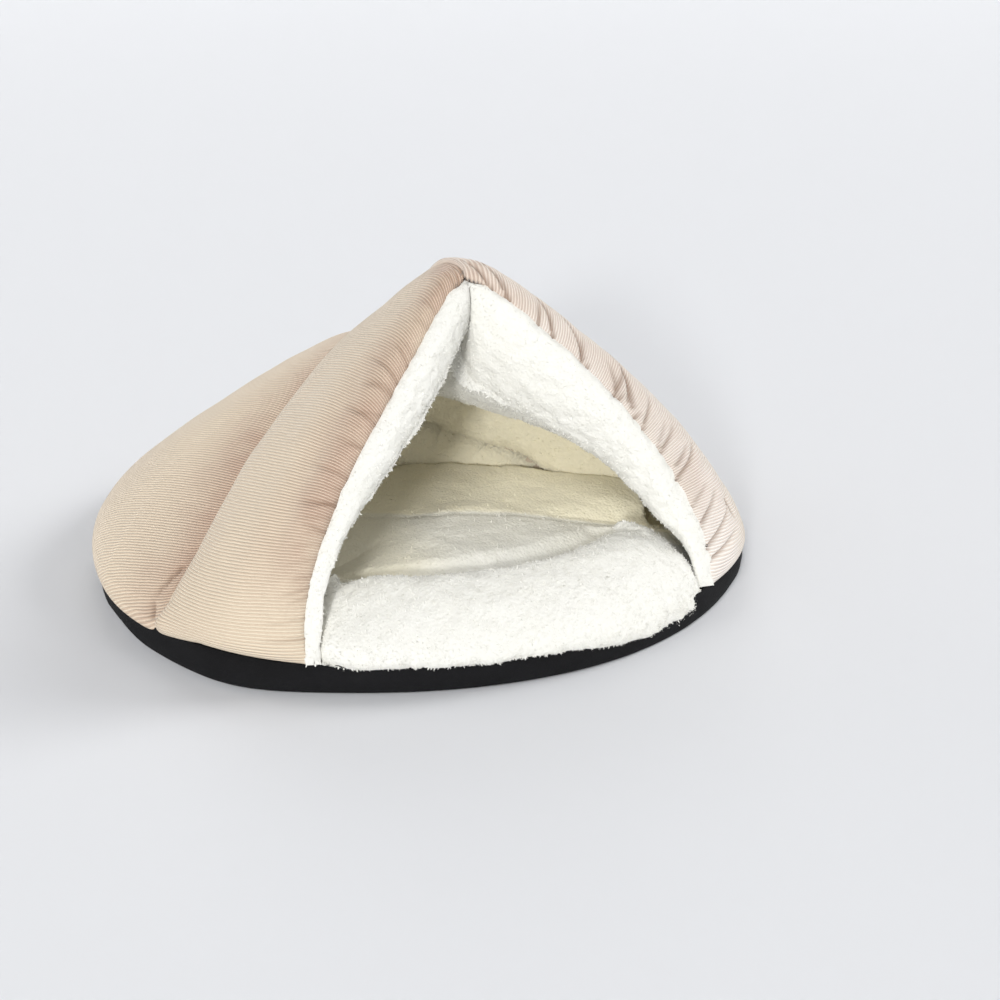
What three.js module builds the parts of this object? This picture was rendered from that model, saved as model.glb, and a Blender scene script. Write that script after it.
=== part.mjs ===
// Slipper-shaped pet bed: a black base cloth turned up into a low dish, a padded hood of ribbed cloth
// in two halves joined along a spine, a fleece lining in each half, a fleece cushion on the floor and a
// fleece bolster across the mouth.
// Millimetres, +Z up. The mouth faces -Y and the spine lies in the plane X = 0. The origin is on the
// underside, below the spine, at the widest place of the oval base.
import * as THREE from "three";
import { mergeVertices } from "three/addons/utils/BufferGeometryUtils.js";

// Half sizes of the oval base. The cloth sits wider on the left of the spine than on the right.
const BASE = { left: 255, right: 233, front: 210, back: 281 };

// The clearance between pieces that touch.
const GAP = 0.3;

// The dish of base cloth: height of its turned-up side, cloth thickness, and the rounded bottom edge.
const SOLE = { height: 20, cloth: 3, edgeIn: 7, edgeUp: 8, corner: 0.3, floorIn: 8 };
const SEAM_HEIGHT = SOLE.height + GAP;

// The hood's seam surface is a family of arches, from the rim of the mouth to the heel. Each arch is
// half a cubic curve: a foot on the base oval, an apex on the spine, and the pull of the cloth at both.
// foot: degrees around the oval from the front; the rest are millimetres.
const ARCHES = [
  { name: "rim", foot: 38, apexY: -52, apexZ: 243, footOut: 10, footBack: 21, footUp: 70,
    apexOut: 69, apexBack: -72, apexDrop: 49 },
  { name: "quilting", foot: 69.5, apexY: 90, apexZ: 152, footOut: -12, footBack: 31, footUp: 34,
    apexOut: 46, apexBack: 28, apexDrop: -5 },
  { name: "back", foot: 114, apexY: 171, apexZ: 100, footOut: -11, footBack: -14, footUp: 37,
    apexOut: 101, apexBack: -5, apexDrop: 10 },
  { name: "heel", foot: 155, apexY: BASE.back, apexZ: SEAM_HEIGHT, footOut: -34, footBack: 17, footUp: 0,
    apexOut: 37, apexBack: 0, apexDrop: 0 },
];

// The padding swells away from, and towards, a line along the floor under the spine.
const CORE = { fromY: -100, toY: 230 };
const QUILTING = 1 / 3;

// How far the padding stands out from the seam surface, and what shapes it across and along a channel.
const OUTSIDE = { roll: 25, back: 20, rollRight: 1.18, rollLean: 0.64, rollPower: 0.63, backPower: 0.5,
  spine: 0.72, spineWidth: 0.12, baseWidth: 0.51 };

// How far the lining hangs in from the seam surface: at the rim's front edge, at the seams, and in the
// middle of each channel. The back channel's lining sags in two folds, parted by a crease; the folds are
// shares of the way to the core line.
const INSIDE = { rim: 20, rimFade: QUILTING / 3, seam: 15, foot: 13, baseWidth: 0.3,
  rollLow: 12, rollMiddle: 22, rollHigh: 50, rollHighFrom: 0.3, rollLean: 0.6, rollPower: 0.6,
  rollLeft: 0.35, rollLeftFrom: 0.75,
  crease: 0.47, creaseShare: 0.3, upperShare: 0.2, lowerShare: 0.585, lowerLean: 0.55, foldPower: 0.55 };

// The lining's thickness, and its edge turned over the rim: how far back the edge reaches, as a share of
// the way to the heel, and its clearance from the ribbed cloth, in the same share.
const LINING = { thickness: 8, flange: 0.02, gap: 0.001 };

// The ribbed cloth's rounded edge at the rim: how far it stands over the turned edge of the lining in
// front, in its middle and behind, and where its middle is.
const RIM = { front: 2.5, middle: 4, middleAt: 0.35, behind: 1 };

// The floor cushion: how far its edge lies inside the oval, its heights, the half width of the room it
// fills between the folds of the lining, and where it falls away behind its crest.
const PAD = { inset: 5, mouthInset: 84, mouthFrom: 36, mouthTo: 62, edge: 11, shelf: 19, mouthEdge: 34,
  crown: 50, bottom: SOLE.cloth + GAP, bottomInset: 14, shelfInset: 30,
  roomWidth: 195, roomFrom: -98, roomTo: 113, roomPower: 2.2, crestY: -25, fallPower: 0.7 };

// The bolster across the mouth: its section, as inset from the oval and height, and its two ends.
const BOLSTER = { end: 35.5, taper: 0.86, taperFrom: 0.6, middleInset: 38, middleHeight: 26 };
const BOLSTER_SECTION = [
  { inset: -1.5, height: 20.5 }, { inset: -3, height: 27 }, { inset: 3, height: 37 },
  { inset: 17, height: 47 }, { inset: 35, height: 54 }, { inset: 52, height: 57 },
  { inset: 66, height: 54 }, { inset: 76, height: 46 }, { inset: 80, height: 36 },
  { inset: 78, height: 22 }, { inset: 70, height: 8 }, { inset: 56, height: 3.3 },
  { inset: 20, height: 3.3 }, { inset: 9, height: 8 }, { inset: 4.5, height: 20.5 },
];

// Steps along an arch, across the front channel and across the back channel, around the base, from the
// middle of the cushion and along the bolster. The powers crowd steps towards the base and the rim.
const STEPS = { arch: 18, archPower: 1.25, roll: 9, rollPower: 1.3, back: 13, around: 72, rings: 9,
  ringPower: 0.85, bolster: 22 };

const MATERIALS = {
  ribbed: { color: 0xd9c4ab, roughness: 0.85, metalness: 0 },
  fleece: { color: 0xf4f1e9, roughness: 0.95, metalness: 0 },
  black: { color: 0x1e1e20, roughness: 0.8, metalness: 0 },
};

const radians = THREE.MathUtils.degToRad;
const { lerp, clamp, smoothstep } = THREE.MathUtils;

// A smooth curve through one column of the arch table; at runs from 0, the rim, to 1, the heel.
function archValue(column, at) {
  const last = ARCHES.length - 1;
  const row = Math.min(Math.floor(at * last), last - 1);
  const part = at * last - row;
  const values = ARCHES.map((arch) => arch[column]);
  const padded = [2 * values[0] - values[1], ...values, 2 * values[last] - values[last - 1]];
  const [a, b, c, d] = padded.slice(row, row + 4);
  const cubic = 3 * (b - c) + d - a;
  return b + 0.5 * part * (c - a + part * (2 * a - 5 * b + 4 * c - d + part * cubic));
}

// A point of the base oval, degrees from the front and positive to the right, moved in by inset.
function ovalPoint(degrees, inset = 0, height = 0) {
  const angle = radians(degrees);
  const width = angle < 0 ? BASE.left : BASE.right;
  const depth = Math.cos(angle) > 0 ? BASE.front : BASE.back;
  const normal = new THREE.Vector2(Math.sin(angle) / width, -Math.cos(angle) / depth).normalize();
  return new THREE.Vector3(
    width * Math.sin(angle) - inset * normal.x,
    -depth * Math.cos(angle) - inset * normal.y,
    height,
  );
}

// The seam surface of the hood's wider half, as a positive X: along runs from the foot to the spine.
function seamPoint(along, at) {
  const value = (column) => archValue(column, at);
  const angle = radians(value("foot"));
  const depth = Math.cos(angle) > 0 ? BASE.front : BASE.back;
  const foot = new THREE.Vector3(BASE.left * Math.sin(angle), -depth * Math.cos(angle), SEAM_HEIGHT);
  const apex = new THREE.Vector3(0, value("apexY"), value("apexZ"));
  const footPull = foot.clone().add(
    new THREE.Vector3(value("footOut"), value("footBack"), value("footUp")));
  const apexPull = apex.clone().add(
    new THREE.Vector3(value("apexOut"), value("apexBack"), -value("apexDrop")));
  return new THREE.CubicBezierCurve3(foot, footPull, apexPull, apex).getPoint(along);
}

function corePoint(at) {
  return new THREE.Vector3(0, lerp(CORE.fromY, CORE.toY, at), SEAM_HEIGHT);
}

// The rounded swell of a channel, 0 at both seams and 1 in the middle.
function swell(across, power) {
  return clamp(4 * across * (1 - across), 0, 1) ** power;
}

// A quick, round rise from 0 at an edge to 1 at width.
function rise(distance, width) {
  const left = 1 - clamp(distance / width, 0, 1);
  return Math.sqrt(1 - left * left);
}

function outsideSwell(along, at, side) {
  const spine = lerp(OUTSIDE.spine, 1, rise(1 - along, OUTSIDE.spineWidth));
  const base = rise(along, OUTSIDE.baseWidth);
  if (at < QUILTING) {
    const across = (at / QUILTING) ** OUTSIDE.rollLean;
    const height = OUTSIDE.roll * (side > 0 ? OUTSIDE.rollRight : 1);
    return height * swell(across, OUTSIDE.rollPower) * spine * base;
  }
  const across = (at - QUILTING) / (1 - QUILTING);
  return OUTSIDE.back * swell(across, OUTSIDE.backPower) * spine * base;
}

function insideDepth(along, at, side) {
  const base = smoothstep(along, 0, INSIDE.baseWidth);
  const rimDepth = lerp(INSIDE.rim, INSIDE.seam, smoothstep(at, 0, INSIDE.rimFade));
  const seam = lerp(INSIDE.foot, rimDepth, base);
  if (at < QUILTING) {
    const across = (at / QUILTING) ** INSIDE.rollLean;
    const fullness = lerp(INSIDE.rollLeft, 1, smoothstep(along, INSIDE.rollLeftFrom, 1));
    const middle = lerp(INSIDE.rollLow, INSIDE.rollMiddle, along);
    const roll = lerp(middle, INSIDE.rollHigh, smoothstep(along, INSIDE.rollHighFrom, 1));
    return seam + roll * (side < 0 ? fullness : 1) * swell(across, INSIDE.rollPower) * base;
  }
  const reach = (seamPoint(along, at).distanceTo(corePoint(at)) - seam) * base;
  if (at < INSIDE.crease) {
    const upper = (at - QUILTING) / (INSIDE.crease - QUILTING);
    return seam + reach * (INSIDE.creaseShare * upper + INSIDE.upperShare * swell(upper, INSIDE.foldPower));
  }
  const lower = (at - INSIDE.crease) / (1 - INSIDE.crease);
  const bulge = INSIDE.lowerShare * swell(lower ** INSIDE.lowerLean, INSIDE.foldPower);
  return seam + reach * (INSIDE.creaseShare * (1 - lower) + bulge);
}

// A point of the hood, out from the seam surface by offset, on the left (-1) or the right (+1) half.
function hoodPoint(along, at, offset, side) {
  const seam = seamPoint(along, at);
  const outward = seam.clone().sub(corePoint(at)).normalize();
  const point = seam.clone().addScaledVector(outward, offset);
  const width = side > 0 ? BASE.right / BASE.left : 1;
  return new THREE.Vector3(side * (point.x * width + GAP / 2), point.y, point.z);
}

// A closed solid between two grids of points with the same rows and columns.
function sheetSolid(face, back) {
  const rows = face.length;
  const columns = face[0].length;
  const positions = [...face.flat(), ...back.flat()].flatMap((point) => point.toArray());
  const index = [];
  const quad = (a, b, c, d) => index.push(a, b, c, a, c, d);
  const offset = rows * columns;
  for (let row = 0; row < rows - 1; row += 1) {
    for (let column = 0; column < columns - 1; column += 1) {
      const a = row * columns + column;
      quad(a, a + 1, a + columns + 1, a + columns);
      quad(offset + a, offset + a + columns, offset + a + columns + 1, offset + a + 1);
    }
  }
  for (let column = 0; column < columns - 1; column += 1) {
    const top = (rows - 1) * columns + column;
    quad(column, offset + column, offset + column + 1, column + 1);
    quad(top, top + 1, offset + top + 1, offset + top);
  }
  for (let row = 0; row < rows - 1; row += 1) {
    const first = row * columns;
    const last = first + columns - 1;
    quad(first, first + columns, offset + first + columns, offset + first);
    quad(last, offset + last, offset + last + columns, last + columns);
  }
  return facingOut(positions, index);
}

// A closed solid through a stack of rings, drawn together at a point before the first and after the last.
function ringSolid(rings, firstPole, lastPole) {
  const count = rings[0].length;
  const positions = [...rings.flat(), firstPole, lastPole].flatMap((point) => point.toArray());
  const index = [];
  const first = rings.length * count;
  const lastRing = (rings.length - 1) * count;
  for (let step = 0; step < count; step += 1) {
    const next = (step + 1) % count;
    index.push(first, next, step);
    index.push(first + 1, lastRing + step, lastRing + next);
    for (let ring = 0; ring < rings.length - 1; ring += 1) {
      const a = ring * count;
      index.push(a + step, a + next, a + count + next);
      index.push(a + step, a + count + next, a + count + step);
    }
  }
  return facingOut(positions, index);
}

// Turns every face over if the solid's faces point in.
function facingOut(positions, index) {
  const corner = (i) => new THREE.Vector3().fromArray(positions, 3 * index[i]);
  let volume = 0;
  for (let i = 0; i < index.length; i += 3) {
    volume += corner(i).dot(corner(i + 1).cross(corner(i + 2)));
  }
  const order = volume < 0 ? [...index].reverse() : index;
  const geometry = new THREE.BufferGeometry();
  geometry.setAttribute("position", new THREE.Float32BufferAttribute(positions, 3));
  geometry.setIndex(order);
  const merged = mergeVertices(geometry);
  merged.computeVertexNormals();
  return merged;
}

function named(name, geometry, material) {
  const mesh = new THREE.Mesh(geometry, new THREE.MeshStandardMaterial(MATERIALS[material]));
  mesh.name = name;
  return mesh;
}

// Places along the arches, closer together near the base, and across the two channels.
const alongSteps = Array.from({ length: STEPS.arch + 1 }, (_, i) => (i / STEPS.arch) ** STEPS.archPower);
const rollSteps = Array.from({ length: STEPS.roll }, (_, i) => {
  const across = ((i + 1) / STEPS.roll) ** STEPS.rollPower;
  return lerp(LINING.flange, QUILTING, across);
});
const backSteps = Array.from({ length: STEPS.back }, (_, i) => lerp(QUILTING, 1, (i + 1) / STEPS.back));
const acrossSteps = [...rollSteps, ...backSteps];

// The ribbed cloth and its padding: it starts at the rim's seam, over the lining's turned edge.
function outerHalf(side) {
  const flange = LINING.flange;
  const middle = flange * RIM.middleAt;
  const inner = (along, at) => insideDepth(along, at, side) - LINING.thickness;
  const face = alongSteps.map((along) => [
    hoodPoint(along, 0, GAP + RIM.front, side),
    hoodPoint(along, middle, GAP + RIM.middle + outsideSwell(along, middle, side), side),
    hoodPoint(along, flange, RIM.behind + outsideSwell(along, flange, side), side),
    ...acrossSteps.map((at) => hoodPoint(along, at, outsideSwell(along, at, side), side)),
  ]);
  const back = alongSteps.map((along) => [
    hoodPoint(along, 0, GAP, side),
    hoodPoint(along, flange, GAP, side),
    hoodPoint(along, flange, -inner(along, flange), side),
    ...acrossSteps.map((at) => hoodPoint(along, at, -inner(along, at), side)),
  ]);
  return sheetSolid(face, back);
}

// The fleece: across the rim's front edge, then back over the inside of both channels.
function liningHalf(side) {
  const backOfEdge = LINING.flange - LINING.gap;
  const inner = (along, at) => insideDepth(along, at, side) - LINING.thickness + GAP;
  const face = alongSteps.map((along) => [
    hoodPoint(along, 0, 0, side),
    hoodPoint(along, 0, -insideDepth(along, 0, side) / 2, side),
    hoodPoint(along, 0, -insideDepth(along, 0, side), side),
    ...acrossSteps.map((at) => hoodPoint(along, at, -insideDepth(along, at, side), side)),
  ]);
  const back = alongSteps.map((along) => [
    hoodPoint(along, backOfEdge, 0, side),
    hoodPoint(along, backOfEdge, -inner(along, backOfEdge) / 2, side),
    hoodPoint(along, backOfEdge, -inner(along, backOfEdge), side),
    ...acrossSteps.map((at) => hoodPoint(along, at, -inner(along, at), side)),
  ]);
  return sheetSolid(face, back);
}

function aroundBase(pointAt) {
  return Array.from({ length: STEPS.around }, (_, i) => pointAt((i / STEPS.around) * 360 - 180));
}

function soleDish() {
  const { height, cloth, edgeIn, edgeUp, corner, floorIn } = SOLE;
  const profile = [
    [edgeIn, 0], [edgeIn * corner, edgeUp * corner], [0, edgeUp], [0, height],
    [cloth, height], [cloth, edgeUp], [floorIn, cloth],
  ];
  const rings = profile.map(([inset, up]) => aroundBase((degrees) => ovalPoint(degrees, inset, up)));
  return ringSolid(rings, new THREE.Vector3(0, 0, 0), new THREE.Vector3(0, 0, cloth));
}

// The cushion's edge keeps clear of the bolster in the mouth and follows the oval elsewhere.
function padInset(degrees) {
  const away = smoothstep(Math.abs(degrees), PAD.mouthFrom, PAD.mouthTo);
  return lerp(PAD.mouthInset, PAD.inset, away);
}

// The cushion's top, share of the way from the middle to its edge: high behind the bolster, and falling
// away to a flat shelf wherever the folds of the lining lie over it.
function padTop(degrees, share) {
  const edge = ovalPoint(degrees, padInset(degrees));
  const point = edge.clone().multiplyScalar(share);
  const behind = clamp((point.y - PAD.crestY) / (PAD.roomTo - PAD.crestY), 0, 1);
  const narrowing = clamp((point.y - PAD.roomFrom) / (PAD.roomTo - PAD.roomFrom), 0, 1);
  const side = clamp(Math.abs(point.x) / (PAD.roomWidth * (1 - narrowing) + 1), 0, 1);
  const inner = smoothstep(edge.length() * (1 - share), 0, PAD.shelfInset);
  const fullness = inner * (1 - side ** PAD.roomPower) * (1 - behind) ** PAD.fallPower;
  const away = smoothstep(Math.abs(degrees), PAD.mouthFrom, PAD.mouthTo);
  const shelf = lerp(lerp(PAD.mouthEdge, PAD.edge, away), PAD.shelf, inner);
  return point.setZ(lerp(shelf, PAD.crown, fullness));
}

function floorPad() {
  const shares = Array.from({ length: STEPS.rings }, (_, i) => ((i + 1) / STEPS.rings) ** STEPS.ringPower);
  const topRings = shares.map((share) => aroundBase((degrees) => padTop(degrees, share)));
  const bottomRing = aroundBase((degrees) =>
    ovalPoint(degrees, padInset(degrees) + PAD.bottomInset, PAD.bottom));
  return ringSolid([...topRings, bottomRing], padTop(0, 0), new THREE.Vector3(0, 0, PAD.bottom));
}

function mouthBolster() {
  const { end, taper, taperFrom, middleInset, middleHeight } = BOLSTER;
  const section = (degrees) => {
    const share = lerp(1, taper, smoothstep(Math.abs(degrees), end * taperFrom, end));
    return BOLSTER_SECTION.map(({ inset, height }) => ovalPoint(
      degrees,
      lerp(middleInset, inset, height > SEAM_HEIGHT ? share : 1),
      height > middleHeight ? lerp(middleHeight, height, share) : height,
    ));
  };
  const places = Array.from({ length: STEPS.bolster + 1 }, (_, i) => lerp(-end, end, i / STEPS.bolster));
  const pole = (degrees) => ovalPoint(degrees, middleInset, middleHeight);
  return ringSolid(places.map(section), pole(-end), pole(end));
}

const LEFT = -1;
const RIGHT = 1;
const group = new THREE.Group();
group.add(named("sole", soleDish(), "black"));
group.add(named("outer_left", outerHalf(LEFT), "ribbed"));
group.add(named("outer_right", outerHalf(RIGHT), "ribbed"));
group.add(named("lining_left", liningHalf(LEFT), "fleece"));
group.add(named("lining_right", liningHalf(RIGHT), "fleece"));
group.add(named("floor_pad", floorPad(), "fleece"));
group.add(named("front_lip", mouthBolster(), "fleece"));

export default group;
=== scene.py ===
import math
import bpy
import numpy as np
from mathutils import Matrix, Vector


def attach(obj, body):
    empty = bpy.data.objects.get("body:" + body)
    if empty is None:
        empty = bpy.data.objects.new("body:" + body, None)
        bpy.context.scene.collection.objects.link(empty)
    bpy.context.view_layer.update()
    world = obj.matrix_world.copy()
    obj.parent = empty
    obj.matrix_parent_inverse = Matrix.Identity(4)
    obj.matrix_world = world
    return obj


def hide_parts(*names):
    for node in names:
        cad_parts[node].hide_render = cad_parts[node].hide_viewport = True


# Slipper-shaped pet bed: black base cloth, a padded hood of ribbed cloth in two halves, a fleece lining
# turned over the rim of the mouth, a fleece cushion and a fleece bolster across the mouth.
# The tables and the surface functions work in millimetres, and meshes are in metres. On the hood, along
# runs from the base, 0, to the spine, 1, and at runs from the rim of the mouth, 0, to the heel, 1.

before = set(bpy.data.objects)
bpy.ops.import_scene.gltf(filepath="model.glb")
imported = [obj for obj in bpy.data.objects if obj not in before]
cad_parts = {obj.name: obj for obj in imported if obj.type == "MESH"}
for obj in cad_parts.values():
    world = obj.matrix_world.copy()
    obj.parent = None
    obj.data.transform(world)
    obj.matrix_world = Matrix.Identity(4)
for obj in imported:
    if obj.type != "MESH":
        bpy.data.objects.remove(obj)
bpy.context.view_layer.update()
MM = 0.001

# The photograph's viewpoint, worked out from the outline of the base.
VIEW = {"azimuth": -23.08, "elevation": 23.44, "distance": 1239.9, "target": (-7.75, -134.76, 101.2),
        "lens": 64.8, "sensor": 36.0}


def to_viewer(azimuth, elevation):
    """The direction from the bed to a viewer who stands in front of it at azimuth 0."""
    azimuth, elevation = math.radians(azimuth), math.radians(elevation)
    return Vector((math.sin(azimuth) * math.cos(elevation), -math.cos(azimuth) * math.cos(elevation),
                   math.sin(elevation)))


def make_camera():
    back = to_viewer(VIEW["azimuth"], VIEW["elevation"])
    data = bpy.data.cameras.new("camera")
    data.lens = VIEW["lens"]
    data.sensor_width = VIEW["sensor"]
    camera = bpy.data.objects.new("camera", data)
    bpy.context.collection.objects.link(camera)
    camera.location = (Vector(VIEW["target"]) + back * VIEW["distance"]) * MM
    camera.rotation_mode = "QUATERNION"
    camera.rotation_quaternion = (-back).to_track_quat("-Z", "Y")
    bpy.context.scene.camera = camera


make_camera()

# Sizes of the bed, as in the part.
BASE = {"left": 255.0, "right": 233.0, "front": 210.0, "back": 281.0}
GAP = 0.3
SOLE = {"height": 20.0, "cloth": 3.0}
SEAM_HEIGHT = SOLE["height"] + GAP

# The hood's seam surface: arches from the rim of the mouth to the heel, one column for each arch.
ARCHES = {
    "foot": (38, 69.5, 114, 155),
    "apex_y": (-52, 90, 171, 281),
    "apex_z": (243, 152, 100, SEAM_HEIGHT),
    "foot_out": (10, -12, -11, -34),
    "foot_back": (21, 31, -14, 17),
    "foot_up": (70, 34, 37, 0),
    "apex_out": (69, 46, 101, 37),
    "apex_back": (-72, 28, -5, 0),
    "apex_drop": (49, -5, 10, 0),
}
CORE = (-100.0, 230.0)
QUILTING = 1 / 3
OUTSIDE = {"roll": 25, "back": 23.5, "roll_right": 1.18, "roll_lean": 0.64, "roll_power": 0.63,
           "back_power": 0.5, "spine": 0.72, "spine_width": 0.12, "base_width": 0.51}
INSIDE = {"rim": 20, "rim_fade": QUILTING / 3, "seam": 15, "foot": 13, "base_width": 0.3,
          "roll_low": 12, "roll_middle": 22, "roll_high": 50, "roll_high_from": 0.42, "roll_lean": 0.6,
          "roll_power": 0.6, "roll_left": 0.2, "spine_width": 0.06, "crease": 0.47,
          "crease_share": 0.3, "upper_share": 0.2, "lower_share": 0.585, "lower_lean": 0.55,
          "fold_power": 0.55}
# Where the ribbed cloth tucks under at the rim, as a share of the way back.
RIM_AT = 0.004
LINING_THICKNESS = 8.0
LINING_BACK = 0.6 * LINING_THICKNESS
PAD = {"inset": 5, "mouth_inset": 74, "mouth_from": 36, "mouth_to": 62, "edge": 11, "shelf": 19,
       "mouth_edge": 46.5, "crown": 50, "bottom": 3.3, "bottom_inset": 14, "shelf_inset": 30,
       "room_width": 195, "room_from": -98, "room_to": 113, "room_power": 2.2, "crest_y": -25,
       "fall_power": 0.7, "side": (1.0, 7.0)}
BOLSTER = {"end": 42.0, "taper": 0.86, "taper_from": 28.0, "taper_to": 37.0, "middle_inset": 38,
           "middle_height": 26, "tuck": 16.0, "tuck_from": 35.5, "tuck_to": 39.5, "most_inset": 80,
           "closing": 1.0, "thinnest": 0.02}
# The bolster's section: inset from the oval, and height.
BOLSTER_SECTION = (
    (-1.5, 20.5), (-3, 27), (3, 37), (17, 47), (35, 54), (52, 57), (66, 54), (76, 46), (80, 36),
    (78, 22), (70, 8), (56, 3.3), (20, 3.3), (9, 8), (4.5, 20.5),
)
LEFT = -1
RIGHT = 1


def lerp(a, b, t):
    return a + (b - a) * t


def smooth(x, low, high):
    t = np.clip((np.asarray(x, float) - low) / (high - low), 0, 1)
    return t * t * (3 - 2 * t)


def value_noise(points, size, seed):
    """Smooth noise from -1 to 1 at points of shape (..., 3), with lumps of about size."""
    cells = 32
    table = np.random.default_rng(seed).uniform(-1, 1, (cells, cells, cells))
    q = np.asarray(points, float) / size + 7.31
    low = np.floor(q).astype(int)
    part = q - low
    part = part * part * (3 - 2 * part)
    total = 0
    for corner in np.ndindex(2, 2, 2):
        weight = np.where(corner, part, 1 - part).prod(axis=-1)
        x, y, z = np.moveaxis((low + corner) % cells, -1, 0)
        total = total + weight * table[x, y, z]
    return total


def line_noise(position, size, seed):
    """Smooth noise along one number."""
    position = np.asarray(position, float)
    flat = np.zeros_like(position)
    return value_noise(np.stack([position, flat, flat], -1), size, seed)


def curve_value(a, b, c, d, part):
    """A smooth curve from b, where part is 0, to c, where it is 1; a and d are the neighbours."""
    return b + 0.5 * part * (c - a + part * (2 * a - 5 * b + 4 * c - d + part * (3 * (b - c) + d - a)))


# The hood's surfaces.
def arch_value(column, at):
    values = np.array(ARCHES[column], float)
    last = len(values) - 1
    at = np.asarray(at, float)
    row = np.clip(np.floor(at * last), 0, last - 1).astype(int)
    part = at * last - row
    padded = np.concatenate([[2 * values[0] - values[1]], values, [2 * values[-1] - values[-2]]])
    return curve_value(*(padded[row + k] for k in range(4)), part)


def seam_point(along, at):
    angle = np.radians(arch_value("foot", at))
    depth = np.where(np.cos(angle) > 0, BASE["front"], BASE["back"])
    level = np.full_like(angle, SEAM_HEIGHT)
    foot = np.stack([BASE["left"] * np.sin(angle), -depth * np.cos(angle), level], -1)
    apex = np.stack([0 * angle, arch_value("apex_y", at), arch_value("apex_z", at)], -1)
    foot_pull = foot + np.stack([arch_value(c, at) for c in ("foot_out", "foot_back", "foot_up")], -1)
    apex_pull = apex + np.stack([arch_value("apex_out", at), arch_value("apex_back", at),
                                 -arch_value("apex_drop", at)], -1)
    u = along[..., None]
    return ((1 - u) ** 3 * foot + 3 * (1 - u) ** 2 * u * foot_pull
            + 3 * (1 - u) * u ** 2 * apex_pull + u ** 3 * apex)


def swell(across, power):
    return np.clip(4 * across * (1 - across), 0, 1) ** power


def rise(distance, width):
    left = 1 - np.clip(distance / width, 0, 1)
    return np.sqrt(1 - left * left)


def outside_swell(along, at, side):
    spine = lerp(OUTSIDE["spine"], 1, rise(1 - along, OUTSIDE["spine_width"]))
    base = rise(along, OUTSIDE["base_width"])
    across = (np.clip(at, 0, QUILTING) / QUILTING) ** OUTSIDE["roll_lean"]
    height = OUTSIDE["roll"] * (OUTSIDE["roll_right"] if side > 0 else 1)
    roll = height * swell(across, OUTSIDE["roll_power"])
    back = OUTSIDE["back"] * swell((at - QUILTING) / (1 - QUILTING), OUTSIDE["back_power"])
    return np.where(at < QUILTING, roll, back) * spine * base


def core_point(at):
    return np.stack([0 * at, lerp(CORE[0], CORE[1], at), 0 * at + SEAM_HEIGHT], -1)


def inside_depth(along, at, side):
    base = smooth(along, 0, INSIDE["base_width"])
    rim = lerp(INSIDE["rim"], INSIDE["seam"], smooth(at, 0, INSIDE["rim_fade"]))
    seam = lerp(INSIDE["foot"], rim, base)
    across = (np.clip(at, 0, QUILTING) / QUILTING) ** INSIDE["roll_lean"]
    spine = rise(1 - along, INSIDE["spine_width"])
    fullness = lerp(INSIDE["roll_left"], 1, spine) if side > 0 else INSIDE["roll_left"]
    middle = lerp(INSIDE["roll_low"], INSIDE["roll_middle"], along)
    height = lerp(middle, INSIDE["roll_high"], smooth(along, INSIDE["roll_high_from"], 1))
    roll = seam + height * fullness * swell(across, INSIDE["roll_power"]) * base
    reach = (np.linalg.norm(seam_point(along, at) - core_point(at), axis=-1) - seam) * base
    upper = (at - QUILTING) / (INSIDE["crease"] - QUILTING)
    upper_fold = seam + reach * (INSIDE["crease_share"] * upper
                                 + INSIDE["upper_share"] * swell(upper, INSIDE["fold_power"]))
    lower = np.clip((at - INSIDE["crease"]) / (1 - INSIDE["crease"]), 0, 1)
    lower_fold = seam + reach * (INSIDE["crease_share"] * (1 - lower)
                                 + INSIDE["lower_share"] * swell(lower ** INSIDE["lower_lean"],
                                                                 INSIDE["fold_power"]))
    return np.where(at < QUILTING, roll, np.where(at < INSIDE["crease"], upper_fold, lower_fold))


def hood_point(along, at, offset, side):
    seam = seam_point(along, at)
    outward = seam - core_point(at)
    outward = outward / np.linalg.norm(outward, axis=-1, keepdims=True)
    point = seam + outward * np.asarray(offset)[..., None]
    width = BASE["right"] / BASE["left"] if side > 0 else 1
    return np.stack([side * (point[..., 0] * width + GAP / 2), point[..., 1], point[..., 2]], -1)


def oval_point(degrees, inset, height):
    angle = np.radians(degrees)
    width = np.where(angle < 0, BASE["left"], BASE["right"])
    depth = np.where(np.cos(angle) > 0, BASE["front"], BASE["back"])
    normal = np.stack([np.sin(angle) / width, -np.cos(angle) / depth], -1)
    normal = normal / np.linalg.norm(normal, axis=-1, keepdims=True)
    x = width * np.sin(angle) - inset * normal[..., 0]
    y = -depth * np.cos(angle) - inset * normal[..., 1]
    return np.stack([x, y, np.broadcast_to(height, x.shape)], -1)


# Mesh helpers.
def make_object(name, points, faces, uvs=None, marks=None):
    """A smooth mesh object from points in millimetres. uvs holds a pair for each corner of each face.

    marks holds named numbers for the points, which the materials read."""
    mesh = bpy.data.meshes.new(name)
    mesh.from_pydata([tuple(p) for p in (np.asarray(points) * MM)], [], [tuple(f) for f in faces])
    mesh.polygons.foreach_set("use_smooth", [True] * len(mesh.polygons))
    if uvs is not None:
        layer = mesh.uv_layers.new(name="cloth")
        layer.data.foreach_set("uv", np.asarray(uvs, np.float32).ravel())
    for mark, values in (marks or {}).items():
        attribute = mesh.attributes.new(mark, "FLOAT", "POINT")
        attribute.data.foreach_set("value", np.asarray(values, np.float32).ravel())
    mesh.update()
    made = bpy.data.objects.new(name, mesh)
    bpy.context.collection.objects.link(made)
    return made


def quads(rows, columns, offset=0, turned=False):
    row, column = np.meshgrid(np.arange(rows - 1), np.arange(columns - 1), indexing="ij")
    a = (row * columns + column).ravel() + offset
    faces = np.stack([a, a + 1, a + columns + 1, a + columns], -1)
    return faces[:, ::-1] if turned else faces


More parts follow.
